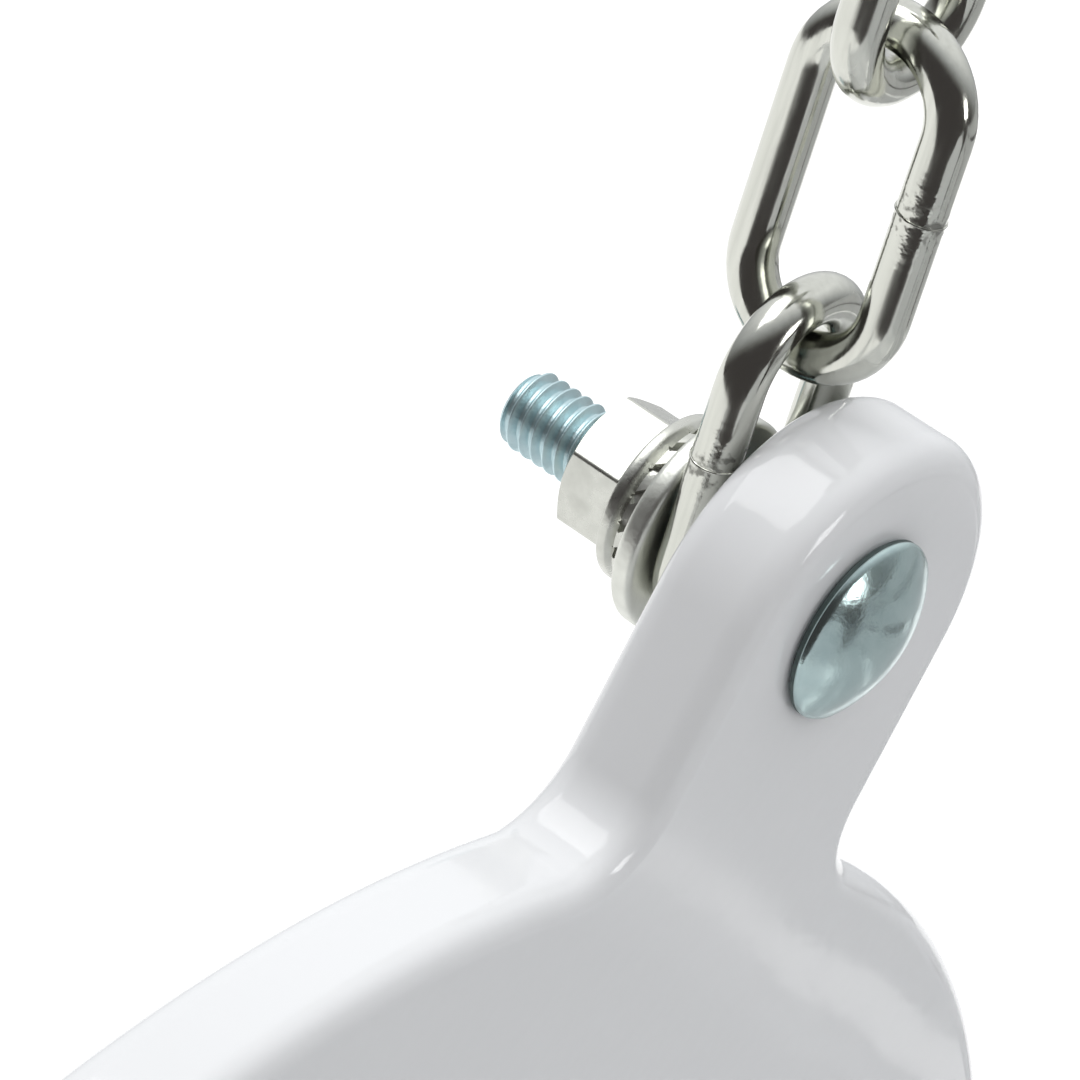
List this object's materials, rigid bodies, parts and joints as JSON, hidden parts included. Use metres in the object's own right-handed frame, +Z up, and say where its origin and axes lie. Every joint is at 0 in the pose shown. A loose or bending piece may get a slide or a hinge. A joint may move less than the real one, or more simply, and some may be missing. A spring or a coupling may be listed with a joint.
{
  "type": "porch swing seat",
  "caption": "Slatted porch swing seat for one sitter, hung by a chain at the round ear of each white end panel.",
  "frame": {"origin": "midway between the two S-hooks, level with the inside top of their upper loops, where the seat hangs", "axes": "+Z up, the sitter faces -Y, +X to the right of someone looking at the seat from the front"},
  "size_m": [0.638, 0.5797, 0.5477],
  "materials": {
    "white_enamel": "gloss",
    "blue_zinc": "satin",
    "bright_zinc": "satin",
    "chain_steel": "polished"
  },
  "bodies": {
    "hooks": {"s_hook_left": "bright_zinc", "s_hook_right": "bright_zinc"},
    "link_4_pair": {"chain_link_4_left": "chain_steel", "chain_link_4_right": "chain_steel"},
    "link_3_pair": {"chain_link_3_left": "chain_steel", "chain_link_3_right": "chain_steel"},
    "link_2_pair": {"chain_link_2_left": "chain_steel", "chain_link_2_right": "chain_steel"},
    "link_1_pair": {"chain_link_1_left": "chain_steel", "chain_link_1_right": "chain_steel"},
    "seat": {"back_slat_1": "white_enamel", "back_slat_2": "white_enamel", "back_slat_3": "white_enamel", "back_slat_4": "white_enamel", "back_slat_5": "white_enamel", "back_stile_left": "white_enamel", "back_stile_middle": "white_enamel", "back_stile_right": "white_enamel", "ear_bolt_left": "blue_zinc", "ear_bolt_right": "blue_zinc", "end_panel_left": "white_enamel", "end_panel_right": "white_enamel", "lock_washer_left": "bright_zinc", "lock_washer_right": "bright_zinc", "nut_left": "bright_zinc", "nut_right": "bright_zinc", "panel_screw_left_1": "bright_zinc", "panel_screw_left_2": "bright_zinc", "panel_screw_left_3": "bright_zinc", "panel_screw_right_1": "bright_zinc", "panel_screw_right_2": "bright_zinc", "panel_screw_right_3": "bright_zinc", "seat_bearer_left": "white_enamel", "seat_bearer_middle": "white_enamel", "seat_bearer_right": "white_enamel", "seat_slat_1": "white_enamel", "seat_slat_2": "white_enamel", "seat_slat_3": "white_enamel", "seat_slat_4": "white_enamel", "seat_slat_5": "white_enamel", "seat_slat_6": "white_enamel", "seat_slat_7": "white_enamel", "stile_screw_left_1": "bright_zinc", "stile_screw_left_2": "bright_zinc", "stile_screw_middle_1": "bright_zinc", "stile_screw_middle_2": "bright_zinc", "stile_screw_right_1": "bright_zinc", "stile_screw_right_2": "bright_zinc", "washer_left": "bright_zinc", "washer_right": "bright_zinc"}
  },
  "joints": [
    {"name": "swing", "type": "hinge", "parent": "hooks", "child": "link_4_pair", "pos_m": [0, 0, -0.03877], "axis": [1, 0, 0], "range_deg": [-30, 30]},
    {"name": "link_3_turn", "type": "hinge", "parent": "link_4_pair", "child": "link_3_pair", "pos_m": [0, 0, -0.07091], "axis": [1, 0, 0], "range_deg": [-12, 12]},
    {"name": "link_2_turn", "type": "hinge", "parent": "link_3_pair", "child": "link_2_pair", "pos_m": [0, 0, -0.09313], "axis": [1, 0, 0], "range_deg": [-12, 12]},
    {"name": "link_1_turn", "type": "hinge", "parent": "link_2_pair", "child": "link_1_pair", "pos_m": [0, 0, -0.12527], "axis": [1, 0, 0], "range_deg": [-12, 12]},
    {"name": "seat_pitch", "type": "hinge", "parent": "link_1_pair", "child": "seat", "pos_m": [0, 0, -0.14592], "axis": [1, 0, 0], "range_deg": [-25, 25]}
  ]
}
